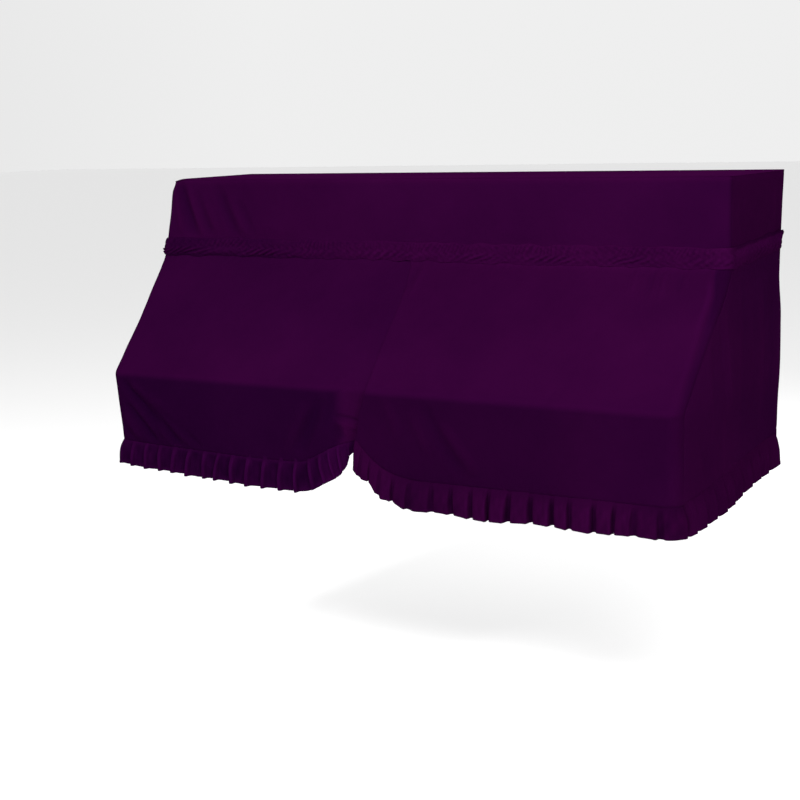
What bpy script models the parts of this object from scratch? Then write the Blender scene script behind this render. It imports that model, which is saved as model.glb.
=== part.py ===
"""Half cover for an upright piano, in velvet.

A lid panel carries the cover. Upper bands hang from it, and a ruched trim lies over the seam
below them. From that seam two front panels slope out to the piano's key-bed and drop past it,
the right one overlapping the left at a centre slit. Side panels and a plain back panel close
the cover, and a pleated ruffle runs along each half's hem and up the slit.

Units are metres and +Z is up. The front faces -Y. The origin is the centre of the lid panel's
underside. Every piece is a thin closed sheet that stands a little clear of what it is sewn to.
"""

import math

import bmesh
import bpy
import numpy as np
from mathutils import Vector

# The cloth and the room it leaves for the piano inside.
CLOTH = 0.002
GAP = 0.0003
LID_WIDTH = 1.536
LID_DEPTH = 0.334

# Heights below the lid.
BAND_SEAM = -0.174
SLOPE_TOP = -0.197
FOLD = -0.475
DROP_TOP = -0.506
SIDE_SEAM_RISE = 0.018
BACK_HEM = -0.620

# How far the slope reaches out, and how softly it bends at its top and at the fold.
SLOPE_REACH = 0.272
TOP_SOFTNESS = 0.04
FOLD_SOFTNESS = 0.05
BACK_RADIUS = 0.012

# The ruched trim: its width, how far its crest stands out, and its gathers.
TRIM_WIDTH = 0.047
TRIM_CREST = 0.0075
TRIM_RIPPLE = 0.0022
TRIM_GATHER = 0.023
TRIM_CLEARANCE = 0.0005
TRIM_END = 0.004

# The ruffle: its depth, its pleats, and how far it stands out from the panels.
RUFFLE_DEPTH = 0.069
PLEAT_PITCH = 0.046
PLEAT_AT_SEAM = 0.003
PLEAT_AT_HEM = 0.0105
RUFFLE_END = 0.010
SCALLOP = 0.004

# The slit: how far the panels part where they overlap, and how far the left one is tucked in.
SLIT_PART = 0.0015
OVERLAP = 0.030

# How far from the centre the left end's flare begins.
FLARE_START = 0.450

VELVET = (0.036, 0.0, 0.032, 1.0)
RUFFLE_VELVET = (0.040, 0.0, 0.033, 1.0)
TRIM_VELVET = (0.034, 0.0, 0.033, 1.0)

# height, radius of the corner between front and side
CORNER_RADIUS = (
    (-0.80, 0.034),
    (-0.66, 0.034),
    (-0.45, 0.028),
    (-0.25, 0.032),
    (-0.15, 0.013),
    (0.00, 0.010),
)

# height, how far the left end stands out, how far it stands forward
LEFT_FLARE = (
    (-0.800, 0.004, 0.000),
    (-0.660, 0.004, 0.000),
    (-0.475, 0.016, 0.002),
    (-0.350, 0.025, 0.007),
    (-0.209, 0.042, 0.014),
    (-0.143, 0.028, 0.009),
    (-0.086, 0.018, 0.004),
    (-0.030, 0.011, 0.001),
    (0.000, 0.000, 0.000),
)

# height, how far the back edge is drawn forward
BACK_DRAW = (
    (-0.8000, 0.008),
    (-0.6200, 0.012),
    (-0.4750, 0.007),
    (-0.3425, 0.011),
    (-0.1280, 0.004),
    (0.0000, 0.000),
)

# along the perimeter from the front's centre, height of the hem seam
HEM_LEFT = (
    (-1.360, -0.603),
    (-0.840, -0.643),
    (-0.700, -0.648),
    (-0.500, -0.654),
    (-0.300, -0.658),
    (-0.197, -0.655),
    (-0.143, -0.633),
    (-0.100, -0.611),
    (-0.060, -0.598),
    (-0.020, -0.592),
    (0.040, -0.590),
)
HEM_RIGHT = (
    (-0.036, -0.590),
    (-0.010, -0.613),
    (0.015, -0.634),
    (0.049, -0.654),
    (0.090, -0.666),
    (0.140, -0.671),
    (0.700, -0.670),
    (0.840, -0.665),
    (1.360, -0.610),
)

# along the ruffle from the slit, share of its full depth, share of its full pleats
DEPTH_LEFT = (
    (0.000, 0.42, 0.30),
    (0.060, 0.48, 0.45),
    (0.080, 0.60, 0.55),
    (0.100, 0.82, 0.70),
    (0.120, 0.97, 0.80),
    (0.150, 1.02, 0.90),
    (0.220, 1.02, 1.00),
    (0.50, 0.98, 1.00),
    (0.85, 0.92, 1.00),
    (1.60, 1.00, 1.00),
)
DEPTH_RIGHT = (
    (0.000, 0.60, 0.25),
    (0.035, 0.90, 0.40),
    (0.060, 0.90, 0.50),
    (0.105, 0.97, 0.70),
    (0.140, 1.03, 0.80),
    (0.260, 1.00, 1.00),
    (1.60, 1.00, 1.00),
)

# along the ruffle from the slit, its distance from the panel's edge: wider round the bend
SEAM_GAP = ((0.00, 0.0018), (0.16, 0.0020), (0.22, 0.0008), (1.60, 0.0008))

# height, where the right front panel's inner edge lies
INNER_EDGE = (
    (-0.600, -0.040),
    (-0.570, -0.029),
    (-0.530, -0.024),
    (-0.500, -0.013),
    (-0.478, -0.006),
    (-0.400, -0.011),
    (-0.270, -0.018),
    (-0.215, -0.030),
    (-0.174, -0.044),
)

# how far from the middle that lean still moves the cloth
EDGE_REACH = 0.140

# height, how far the left front panel is tucked in beside the slit
SLIT_TUCK = (
    (-0.720, 0.014),
    (-0.640, 0.024),
    (-0.580, 0.032),
    (-0.540, 0.030),
    (-0.475, 0.022),
    (-0.430, 0.006),
    (-0.400, 0.000),
)

# upper end x, z, lower end x, z, half width, height (a trough is minus)
FRONT_CREASES = (
    (-0.750, -0.034, -0.708, -0.122, 0.017, -0.0060),
    (-0.728, -0.040, -0.686, -0.122, 0.016, 0.0045),
    (-0.699, -0.049, -0.663, -0.122, 0.016, -0.0055),
    (-0.615, -0.054, -0.570, -0.122, 0.018, -0.0050),
    (-0.539, -0.070, -0.527, -0.110, 0.015, -0.0035),
    (-0.717, -0.510, -0.588, -0.640, 0.022, -0.0060),
    (-0.690, -0.510, -0.560, -0.625, 0.022, 0.0050),
    (-0.710, -0.545, -0.629, -0.630, 0.020, -0.0040),
    (-0.138, -0.516, -0.192, -0.607, 0.030, -0.0070),
    (0.154, -0.500, 0.186, -0.564, 0.022, -0.0050),
    (0.186, -0.564, 0.240, -0.634, 0.022, -0.0050),
    (0.210, -0.550, 0.275, -0.625, 0.022, 0.0040),
    (0.660, -0.235, 0.700, -0.330, 0.022, 0.0040),
)

# upper end y, z, lower end y, z, half width, height (a trough is minus)
SIDE_CREASES = (
    (-0.145, -0.240, -0.130, -0.540, 0.030, 0.0060),
    (-0.085, -0.240, -0.080, -0.560, 0.028, -0.0060),
    (0.020, -0.240, 0.010, -0.520, 0.034, 0.0050),
    (0.090, -0.240, 0.095, -0.540, 0.030, -0.0040),
    (-0.330, -0.540, -0.280, -0.620, 0.028, -0.0050),
    (-0.100, -0.040, -0.110, -0.100, 0.026, -0.0030),
    (0.080, -0.045, 0.090, -0.090, 0.026, 0.0030),
)

# upper end x, z, lower end x, z, half width, height (a trough is minus)
BACK_CREASES = (
    (-0.52, -0.16, -0.50, -0.62, 0.060, 0.0080),
    (-0.20, -0.12, -0.24, -0.62, 0.070, -0.0070),
    (0.12, -0.18, 0.15, -0.62, 0.060, 0.0080),
    (0.47, -0.14, 0.44, -0.62, 0.070, -0.0070),
)

# place in the pleat, how far out the cloth is there, from -1 in the groove to 1 on the front
PLEAT = ((0.00, -1.00), (0.17, 0.80), (0.50, 1.00), (0.83, 0.75))

# share of the ruffle's depth, how far it stands out, share of the pleats' growth
RUFFLE_ROWS = ((0.0, 0.0000, 0.0), (0.22, 0.0060, 0.55), (0.60, 0.0110, 0.85), (1.0, 0.0080, 1.0))

# share of the trim's width, share of its crest, how far its gathers are drawn along it
TRIM_ROWS = ((0.0, 0.00, 0.0), (0.30, 0.80, 0.25), (0.68, 1.00, 0.75), (1.0, 0.05, 1.0))


def read(table, key, column=1):
    """A column of a table at a key between its rows, along straight lines."""
    return float(np.interp(key, [row[0] for row in table], [row[column] for row in table]))


def smooth(table, key):
    """The second column of a table at a key between its rows, along a curve with no overshoot."""
    keys = np.array([row[0] for row in table])
    values = np.array([row[1] for row in table])
    steps = np.diff(keys)
    slopes = np.diff(values) / steps
    tangents = np.zeros(len(keys))
    for i in range(1, len(keys) - 1):
        if slopes[i - 1] * slopes[i] > 0:
            tangents[i] = 2 / (1 / slopes[i - 1] + 1 / slopes[i])
    i = int(np.clip(np.searchsorted(keys, key) - 1, 0, len(steps) - 1))
    t = float(np.clip((key - keys[i]) / steps[i], 0, 1))
    start = (1 + 2 * t) * (1 - t) ** 2 * values[i] + t * (1 - t) ** 2 * steps[i] * tangents[i]
    end = t * t * (3 - 2 * t) * values[i + 1] - t * t * (1 - t) * steps[i] * tangents[i + 1]
    return start + end


def soft_ramp(t, softness):
    """0 below zero and t above it, with the corner rounded over the softness."""
    if t < -softness:
        return 0.0
    if t > softness:
        return t
    return (t + softness) ** 2 / (4 * softness)


def share(value, start, end):
    """How far the value has gone from start to end, kept between 0 and 1."""
    return min(max((value - start) / (end - start), 0.0), 1.0)


def front_y(z):
    """The front's middle surface: upright, then sloping out from SLOPE_TOP to FOLD, then upright."""
    t = (SLOPE_TOP - z) / (SLOPE_TOP - FOLD)
    reach = soft_ramp(t, TOP_SOFTNESS) - soft_ramp(t - 1, FOLD_SOFTNESS)
    return -(LID_DEPTH + CLOTH) / 2 - SLOPE_REACH * reach


def front_slope(z):
    """How fast the front moves back as it rises."""
    step = 0.001
    return (front_y(z + step) - front_y(z - step)) / (2 * step)


def back_y(z):
    """The back's middle surface."""
    return (LID_DEPTH + CLOTH) / 2 - read(BACK_DRAW, z)


HALF_WIDTH = (LID_WIDTH + CLOTH) / 2


def corner_radius(z):
    return read(CORNER_RADIUS, z)


def side_length(z):
    return back_y(z) - BACK_RADIUS - front_y(z) - corner_radius(z)


def around_length(z):
    """The distance round the cover from the front's centre to the end of a side."""
    return HALF_WIDTH + corner_radius(z) * (math.pi / 2 - 1) + side_length(z)


def outline(c, z):
    """A point of the cover's middle surface, and the direction out of it, at height z.

    c says where round the cover: 0 to 1 is the front from its centre to the right corner, 1 to 2
    that corner, 2 to 3 the side, 3 to 4 the back corner and 4 to 5 the back. Minus is to the left.
    """
    hand = math.copysign(1, c)
    c = abs(c)
    radius = corner_radius(z)
    front, rear = front_y(z), back_y(z)
    turn = (c % 1) * math.pi / 2
    if c <= 1:
        x, y, out_x, out_y = c * (HALF_WIDTH - radius), front, 0.0, -1.0
    elif c < 2:
        out_x, out_y = math.sin(turn), -math.cos(turn)
        x = HALF_WIDTH - radius + radius * out_x
        y = front + radius + radius * out_y
    elif c <= 3:
        x, out_x, out_y = HALF_WIDTH, 1.0, 0.0
        y = front + radius + (c - 2) * side_length(z)
    elif c < 4:
        out_x, out_y = math.cos(turn), math.sin(turn)
        x = HALF_WIDTH - BACK_RADIUS + BACK_RADIUS * out_x
        y = rear - BACK_RADIUS + BACK_RADIUS * out_y
    else:
        x, y, out_x, out_y = (5 - c) * (HALF_WIDTH - BACK_RADIUS), rear, 0.0, 1.0
    point = Vector((hand * x, y, z))
    if hand < 0:
        back = share(y, front, rear)
        near = share(x, FLARE_START, HALF_WIDTH)
        point.x -= read(LEFT_FLARE, z) * near * (1 - 0.6 * back)
        point.y -= read(LEFT_FLARE, z, 2) * near * (1 - back)
    out = Vector((hand * out_x, out_y, -min(out_y, 0.0) * front_slope(z)))
    return point, out.normalized()


def around(s, z):
    """The place round the cover, as outline takes it, at a distance s along it from the front's centre."""
    radius = corner_radius(z)
    hand = math.copysign(1, s)
    lengths = (HALF_WIDTH - radius, radius * math.pi / 2, side_length(z), BACK_RADIUS * math.pi / 2)
    rest = abs(s)
    for number, length in enumerate(lengths):
        if rest < length:
            return hand * (number + rest / length)
        rest -= length
    return hand * 4.0


def creases(table, along, z):
    """The relief of a table's creases at a place: each is highest on its line and dies out beside it."""
    total = 0.0
    for a0, z0, a1, z1, half_width, height in table:
        run = (a1 - a0, z1 - z0)
        t = ((along - a0) * run[0] + (z - z0) * run[1]) / (run[0] ** 2 + run[1] ** 2)
        t = min(max(t, 0.0), 1.0)
        far = math.hypot(along - a0 - t * run[0], z - z0 - t * run[1]) / half_width
        if far < 1:
            total += height * (1 - far * far) ** 2
    return total


def cloth_point(c, z):
    """A point of the cover's surface with its creases, and the direction out of it."""
    point, out = outline(c, z)
    if abs(c) <= 1:
        relief = creases(FRONT_CREASES, point.x, z)
    elif 2 <= abs(c) <= 3:
        relief = creases(SIDE_CREASES, point.y, z)
    elif abs(c) >= 4:
        relief = creases(BACK_CREASES, point.x, z)
    else:
        relief = 0.0
    return point + out * relief, out


def near_slit(x):
    """1 where the front panels overlap, falling to 0 beside it."""
    return min(share(x, -0.090, -0.050), share(x, 0.090, 0.045))


def left_tuck(x, z):
    """How far the left front panel lies behind the surface beside the slit."""
    return SLIT_PART * near_slit(x) + read(SLIT_TUCK, z) * share(x, -0.115, -0.035)


def sheet_solid(name, points, halves, colour):
    """A closed sheet from a grid of middle points and each one's half thickness, as vectors.

    Rows run down the cloth and columns run round the cover to the right, seen from outside.
    """
    mesh = bmesh.new()
    outer = [[mesh.verts.new(p + h) for p, h in zip(*row)] for row in zip(points, halves)]
    inner = [[mesh.verts.new(p - h) for p, h in zip(*row)] for row in zip(points, halves)]
    rows, columns = len(points), len(points[0])
    for i in range(rows - 1):
        for j in range(columns - 1):
            mesh.faces.new((outer[i][j], outer[i + 1][j], outer[i + 1][j + 1], outer[i][j + 1]))
            mesh.faces.new((inner[i][j], inner[i][j + 1], inner[i + 1][j + 1], inner[i + 1][j]))
    for j in range(columns - 1):
        mesh.faces.new((outer[0][j], outer[0][j + 1], inner[0][j + 1], inner[0][j]))
        mesh.faces.new((outer[-1][j + 1], outer[-1][j], inner[-1][j], inner[-1][j + 1]))
    for i in range(rows - 1):
        mesh.faces.new((outer[i + 1][0], outer[i][0], inner[i][0], inner[i + 1][0]))
        mesh.faces.new((outer[i][-1], outer[i + 1][-1], inner[i + 1][-1], inner[i][-1]))
    return finish(name, mesh, colour)


def finish(name, mesh, colour):
    """Turns a bmesh into a named object with its own material."""
    bmesh.ops.triangulate(mesh, faces=mesh.faces, quad_method="SHORT_EDGE")
    data = bpy.data.meshes.new(name)
    mesh.to_mesh(data)
    mesh.free()
    data.shade_smooth()
    material = bpy.data.materials.new(name)
    material.use_nodes = True
    shader = material.node_tree.nodes["Principled BSDF"]
    shader.inputs["Base Color"].default_value = colour
    shader.inputs["Roughness"].default_value = 0.9
    shader.inputs["Metallic"].default_value = 0.0
    data.materials.append(material)
    piece = bpy.data.objects.new(name, data)
    bpy.context.scene.collection.objects.link(piece)
    return piece


def mitred_halves(points):
    """Half the thickness at each point of a pleated grid, longer at the bends so that it stays even."""
    halves = []
    for i, row in enumerate(points):
        above, below = points[max(i - 1, 0)], points[min(i + 1, len(points) - 1)]
        edge_row = i in (0, len(points) - 1)
        outs = []
        for j in range(len(row) - 1):
            down = below[j] - above[j] + below[j + 1] - above[j + 1]
            out = down.cross(row[j + 1] - row[j])
            if edge_row:
                out.z = 0.0
            outs.append(out.normalized())
        ends = [outs[0]] + outs
        starts = outs + [outs[-1]]
        halves.append([(a + b) * (CLOTH / 2 / max(1 + a.dot(b), 0.28)) for a, b in zip(ends, starts)])
    return halves


def spread(*runs):
    """Places from each (start, end, step) run, one after another, without repeating shared ends."""
    places = []
    for start, end, step in runs:
        count = max(round(abs(end - start) / step), 1)
        places += [start + (end - start) * i / count for i in range(count)]
    return places + [runs[-1][1]]


CORNER_STEPS = (1.25, 1.5, 1.75, 2.0)
BAND_HEIGHTS = (-GAP, -0.030, -0.058, -0.086, -0.114, -0.143, BAND_SEAM + GAP)
SLOPE_HEIGHTS = (-0.186, -0.197, -0.209, -0.270, -0.350, -0.430, -0.461, -0.475, -0.489)
DROP_SHARES = (0.0, 0.33, 0.67, 1.0)
BACK_HEIGHTS = (-GAP, -0.064, -0.128, -0.235, -0.3425, -0.475, -0.5475, BACK_HEM)


def side_seam(c):
    """The height of the seam under the trim: level on the front, rising along the side."""
    return BAND_SEAM + SIDE_SEAM_RISE * share(abs(c), 2, 3)


def side_gap(z):
    """A sewn gap's width, in the units that outline takes along a side."""
    return GAP / side_length(z)


def make_lid_panel():
    """The flat panel that lies on the piano's lid, out to the outer faces of the bands."""
    mesh = bmesh.new()
    corner = [1 + i / 6 for i in range(7)]
    back_corner = [3 + i / 6 for i in range(7)]
    half = corner + back_corner
    ring = [-c for c in half] + half[::-1]
    top, bottom = [], []
    for c in ring:
        point, out = outline(c, 0.0)
        flat = Vector((out.x, out.y, 0.0)).normalized()
        edge = point + flat * (CLOTH / 2)
        bottom.append(mesh.verts.new((edge.x, edge.y, 0.0)))
        top.append(mesh.verts.new((edge.x, edge.y, CLOTH)))
    count = len(ring)
    mesh.faces.new(top[::-1])
    mesh.faces.new(bottom)
    for i in range(count):
        j = (i + 1) % count
        mesh.faces.new((top[i], top[j], bottom[j], bottom[i]))
    finish("lid_panel", mesh, VELVET)


def grid_sheet(name, columns, rows_at, point_at, colour):
    """A sheet whose columns stand at places round the cover and whose rows are heights for each."""
    points, halves = [], []
    heights = [rows_at(c) for c in columns]
    for i in range(len(heights[0])):
        row = [point_at(c, heights[j][i]) for j, c in enumerate(columns)]
        points.append([point for point, _ in row])
        halves.append([out * (CLOTH / 2) for _, out in row])
    flatten_edge(halves[0])
    flatten_edge(halves[-1])
    sheet_solid(name, points, halves, colour)


def flatten_edge(halves):
    """Makes the thickness level along a sewn edge, so that it meets its neighbour squarely."""
    for half in halves:
        half.z = 0.0
        half.length = CLOTH / 2


def make_front_band():
    straight = HALF_WIDTH - corner_radius(0)
    places = spread((-straight, -FLARE_START, 0.0165), (-FLARE_START, straight, 0.150))
    columns = [-c for c in CORNER_STEPS[::-1]] + [x / straight for x in places] + list(CORNER_STEPS)
    grid_sheet("front_band", columns, lambda c: BAND_HEIGHTS, cloth_point, VELVET)


def make_side_band(hand):
    def heights(c):
        seam = side_seam(c) + GAP
        return [z * seam / BAND_HEIGHTS[-1] for z in BAND_HEIGHTS]

    gap = side_gap(-0.1)
    columns = [2 + gap + (1 - gap) * i / 8 for i in range(9)]
    columns = [hand * c for c in columns][::hand]
    name = "right_band" if hand > 0 else "left_band"
    grid_sheet(name, columns, heights, cloth_point, VELVET)


def hem_seam(hand, c, z=-0.65):
    """The height of the hem seam at a place round the cover."""
    radius = corner_radius(z)
    lengths = (HALF_WIDTH - radius, radius * math.pi / 2, side_length(z))
    whole = int(min(abs(c), 2.999))
    s = sum(lengths[:whole]) + (abs(c) - whole) * lengths[whole]
    return smooth(HEM_RIGHT if hand > 0 else HEM_LEFT, math.copysign(s, c))


def panel_heights(hand, c):
    """The rows of a lower panel, from the seam under the trim to the hem seam."""
    hem = hem_seam(hand, c) + GAP
    heights = [side_seam(c) - GAP] + list(SLOPE_HEIGHTS)
    heights += [DROP_TOP + (hem - DROP_TOP) * t for t in DROP_SHARES]
    lift = SIDE_SEAM_RISE * share(abs(c), 2, 3)
    return [heights[0]] + [z + lift * share(z, FOLD, BAND_SEAM) for z in heights[1:]]


def left_front_point(c, z):
    point, out = cloth_point(c, z)
    point.y += left_tuck(point.x, z)
    return point, out


def make_left_front():
    straight = HALF_WIDTH - corner_radius(FOLD)
    places = spread((-straight, -0.560, 0.0205), (-0.560, -0.220, 0.0570), (-0.220, OVERLAP, 0.0180))
    columns = [-c for c in CORNER_STEPS[::-1]] + [x / straight for x in places]
    grid_sheet("left_front", columns, lambda c: panel_heights(-1, c), left_front_point, VELVET)


def right_place(c, z):
    """Where a column of the right front panel lies at a height: its inner edge leans to the left."""
    straight = HALF_WIDTH - corner_radius(FOLD)
    nominal = read(INNER_EDGE, FOLD)
    shift = (read(INNER_EDGE, z) - nominal) / straight
    return c + shift * share(c * straight, EDGE_REACH, nominal)


def right_front_point(c, z):
    point, out = cloth_point(right_place(c, z), z)
    point.y -= SLIT_PART * near_slit(point.x)
    return point, out


def right_front_heights(c):
    return panel_heights(1, right_place(c, INNER_EDGE[0][0]))


def make_right_front():
    straight = HALF_WIDTH - corner_radius(FOLD)
    places = spread(
        (read(INNER_EDGE, FOLD), EDGE_REACH, 0.0125),
        (EDGE_REACH, 0.300, 0.0230),
        (0.300, straight, 0.0560),
    )
    columns = [x / straight for x in places] + list(CORNER_STEPS)
    grid_sheet("right_front", columns, right_front_heights, right_front_point, VELVET)


def make_side_panel(hand):
    gap = side_gap(-0.4)
    columns = [2 + gap + (1 - gap) * i / 11 for i in range(12)]
    columns = [hand * c for c in columns][::hand]
    name = "right_side" if hand > 0 else "left_side"
    grid_sheet(name, columns, lambda c: panel_heights(hand, c), cloth_point, VELVET)


def make_back_panel():
    start = 3 + GAP / (BACK_RADIUS * math.pi / 2)
    half = [start, 3.33, 3.67, 4.0] + [4 + i / 8 for i in range(1, 9)]
    columns = half + [-c for c in half[-2::-1]]
    grid_sheet("back_panel", columns, lambda c: BACK_HEIGHTS, cloth_point, VELVET)


def trim_base(c, z):
    """How far the trim's underlay stands out: the corner's bend and the overlap at the slit."""
    x = outline(c, z)[0].x
    bend = 0.0012 * min(share(abs(c), 0.96, 1.0), share(abs(c), 2.1, 2.0))
    overlap = SLIT_PART * near_slit(x) if abs(c) < 1 else 0.0
    return CLOTH + TRIM_CLEARANCE + bend + overlap


def make_trim():
    """A ruched strip over the seam, its gathers drawn along it so that they slant."""
    z = BAND_SEAM
    reach = around_length(z) - TRIM_END
    count = 2 * round(2 * reach / TRIM_GATHER)
    places = [-reach + 2 * reach * i / count for i in range(count + 1)]
    points = []
    for width, crest, draw in TRIM_ROWS:
        row = []
        for i, s in enumerate(places):
            end = min(share(i, 0, 1), share(i, count, count - 1))
            along = s + TRIM_GATHER * 0.5 * draw * end
            along = min(max(along, -reach), reach)
            middle = side_seam(around(along, z))
            height = middle + TRIM_WIDTH * (0.5 - width)
            c = around(along, height)
            point, out = outline(c, height)
            uneven = 1 + 0.25 * math.sin(s * 31.0) + 0.15 * math.sin(s * 73.0)
            ripple = TRIM_RIPPLE * (1 if i % 2 else -1) * crest * uneven
            row.append(point + out * (trim_base(c, height) + TRIM_CREST * crest + ripple))
        points.append(row)
    sheet_solid("trim", points, mitred_halves(points), TRIM_VELVET)


def ruffle_path(hand):
    """The hem seam from the slit to the back: distance along it, place, height and fall direction."""
    table = HEM_RIGHT if hand > 0 else HEM_LEFT
    start = table[0][0] if hand > 0 else OVERLAP - 0.010
    z = -0.65
    end = hand * (around_length(z) - RUFFLE_END)
    count = 900
    places = np.linspace(start, end, count)
    heights = np.array([smooth(table, s) for s in places])
    steps = np.hypot(np.diff(places), np.diff(heights))
    run = np.concatenate(([0.0], np.cumsum(steps)))
    tangent = np.stack((np.gradient(places, run), np.gradient(heights, run)))
    across = hand * np.stack((tangent[1], -tangent[0]))
    fall = 0.8 * across + 0.2 * np.array([[0.0], [-1.0]])
    return run, places, heights, fall / np.hypot(*fall)


def pleat_stations(length):
    """Distances along the ruffle, and how far out the cloth is at each: uneven pleats, end to end."""
    stations = []
    count = round(length / PLEAT_PITCH)
    for pleat in range(count):
        for place, out in PLEAT:
            t = pleat + place
            uneven = 0.16 * math.sin(t * 0.83) + 0.10 * math.sin(t * 2.17)
            distance = length * (t + uneven) / count
            strength = 1 + 0.18 * math.sin(pleat * 2.4) + 0.12 * math.sin(pleat * 5.1)
            stations.append((max(distance, 0.0), out * strength))
    stations.append((length, -0.6))
    return stations


def make_ruffle(hand):
    name = "right_ruffle" if hand > 0 else "left_ruffle"
    run, places, heights, fall = ruffle_path(hand)
    depths = DEPTH_RIGHT if hand > 0 else DEPTH_LEFT
    points = []
    for drop, stand, growth in RUFFLE_ROWS:
        row = []
        for distance, pleat in pleat_stations(run[-1]):
            s, z, fall_s, fall_z = (
                float(np.interp(distance, run, v)) for v in (places, heights, fall[0], fall[1])
            )
            depth = RUFFLE_DEPTH * read(depths, distance)
            down = read(SEAM_GAP, distance) + depth * drop
            lift = SCALLOP * (1 - pleat) / 2 * drop
            s += fall_s * down
            height = z + fall_z * down + lift
            limit = abs(places[-1])
            s = min(max(s, -limit), limit)
            point, out = outline(around(s, height), height)
            level = Vector((out.x, out.y, 0.0)).normalized()
            relief = PLEAT_AT_SEAM + (PLEAT_AT_HEM - PLEAT_AT_SEAM) * growth
            offset = stand + pleat * relief * read(depths, distance, 2)
            if hand < 0:
                offset -= left_tuck(point.x, height) if abs(s) < 0.2 else 0.0
            else:
                offset += SLIT_PART * near_slit(point.x) if abs(s) < 0.2 else 0.0
            row.append(point + level * offset)
        points.append(row[::hand])
    sheet_solid(name, points, mitred_halves(points), RUFFLE_VELVET)


def main():
    for piece in list(bpy.data.objects):
        bpy.data.objects.remove(piece)
    make_lid_panel()
    make_front_band()
    make_left_front()
    make_right_front()
    make_back_panel()
    make_trim()
    for hand in (-1, 1):
        make_side_band(hand)
        make_side_panel(hand)
        make_ruffle(hand)


main()
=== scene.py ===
"""The velvet half cover of an upright piano, dressed for its render.

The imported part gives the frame. Each of its sheets is replaced by a finer one on the same skin,
with turned seams, creases, gathers and pleats, and each gets a procedural velvet. The piano under
the cover is left out.

Units are metres and +Z is up. The front faces -Y, and the origin is the centre of the lid panel's
underside.
"""

import math

import bpy
import numpy as np
from mathutils import Matrix, Vector


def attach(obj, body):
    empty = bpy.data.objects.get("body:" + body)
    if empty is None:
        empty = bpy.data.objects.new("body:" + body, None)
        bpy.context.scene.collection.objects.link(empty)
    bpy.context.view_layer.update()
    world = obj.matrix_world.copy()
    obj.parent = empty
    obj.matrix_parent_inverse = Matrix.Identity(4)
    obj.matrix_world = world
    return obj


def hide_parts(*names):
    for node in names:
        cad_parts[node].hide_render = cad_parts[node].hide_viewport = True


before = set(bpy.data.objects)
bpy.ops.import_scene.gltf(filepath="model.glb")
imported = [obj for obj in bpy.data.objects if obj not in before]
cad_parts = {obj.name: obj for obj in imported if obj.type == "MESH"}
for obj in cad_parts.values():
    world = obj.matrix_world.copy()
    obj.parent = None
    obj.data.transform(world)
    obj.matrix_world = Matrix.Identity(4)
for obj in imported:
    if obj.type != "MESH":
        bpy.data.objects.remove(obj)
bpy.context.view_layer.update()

# The skin, as the part has it.
CLOTH = 0.002
LID_WIDTH = 1.536
LID_DEPTH = 0.334
BAND_SEAM = -0.174
SLOPE_TOP = -0.197
FOLD = -0.475
SIDE_SEAM_RISE = 0.018
BACK_HEM = -0.620
SLOPE_REACH = 0.272
TOP_SOFTNESS = 0.04
FOLD_SOFTNESS = 0.03
BACK_RADIUS = 0.012
FLARE_START = 0.450
HALF_WIDTH = (LID_WIDTH + CLOTH) / 2

# How finely the sheets are drawn, half their thickness, and how their sewn edges turn in.
STEP = 0.0048
BACK_STEP = 0.007
HALF = 0.0008
TURN = 0.005
SEAM = 0.0002
SEAM_HALF = 0.0004
SIDE_EDGES = ("left", "right")

# Where the bands and the back start, the height at which the hem is measured round the cover, and
# how far the lower panels fall below the fold.
TOP_EDGE = -0.0006
HEM_LEVEL = -0.65
LOWER_DROP = 0.19

# The lid panel's rounded corners, the back's hem, and the crease height at which its painted
# shade or highlight is full.
LID_CORNER = 0.011
HEM_ALLOWANCE = 0.022
CREASE_FULL = 0.010

# The ruched trim.
TRIM_WIDTH = 0.047
TRIM_CREST = 0.0042
TRIM_END = 0.004
TRIM_BASE = 0.0013
UNDER_TRIM = 0.022
END_LOOSE = 0.007
TWIST_PITCH = 0.025
TWIST_DEPTH = 0.0021
TWIST_SLANT = 0.098
GATHER_PITCH = 0.0115
GATHER_DEPTH = 0.0012

# The ruffle.
RUFFLE_DEPTH = 0.069
RUFFLE_END = 0.010
PITCH_LEFT = 0.046
PITCH_RIGHT = 0.053
PLEAT_AT_SEAM = 0.0006
PLEAT_AT_HEM = 0.0072
SCALLOP = 0.0015
POINTS_PER_PLEAT = 30
PLEAT_RISE = 0.24
RUFFLE_HALF = 0.0007
RUFFLE_TUCK = 0.0009
RUFFLE_UNDER = 0.006
PLUMB_LEFT = 0.2
PLUMB_RIGHT = 0.85

# The slit.
SLIT_PART = 0.0015
OVERLAP = 0.030
EDGE_LIFT = 0.0012

# The lid's front left corner sags a little over the piano's rounded corner.
CORNER_SAG = 0.0045
CORNER_SAG_REACH = 0.020

# The crease along the right end's front corner.
CORNER_RIDGE = 0.0024
CORNER_TROUGH = 0.0020

# height, how far inside the right end the slope turns to the side, half the width of that turn,
# how strong the painted shade is on the turn
CORNER_FOLDS = (
    (-0.475, 0.000, 0.010, 0.5), (-0.467, 0.002, 0.010, 0.7), (-0.418, 0.007, 0.010, 1.0),
    (-0.368, 0.007, 0.010, 1.0), (-0.318, 0.011, 0.009, 1.1), (-0.268, 0.013, 0.005, 1.8),
    (-0.249, 0.015, 0.004, 1.9), (-0.229, 0.022, 0.004, 1.9), (-0.198, 0.030, 0.004, 1.9),
)

# height, radius of the corner between front and side
CORNER_RADIUS = (
    (-0.66, 0.034), (-0.45, 0.028), (-0.25, 0.032), (-0.15, 0.013), (0.00, 0.010),
)

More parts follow.
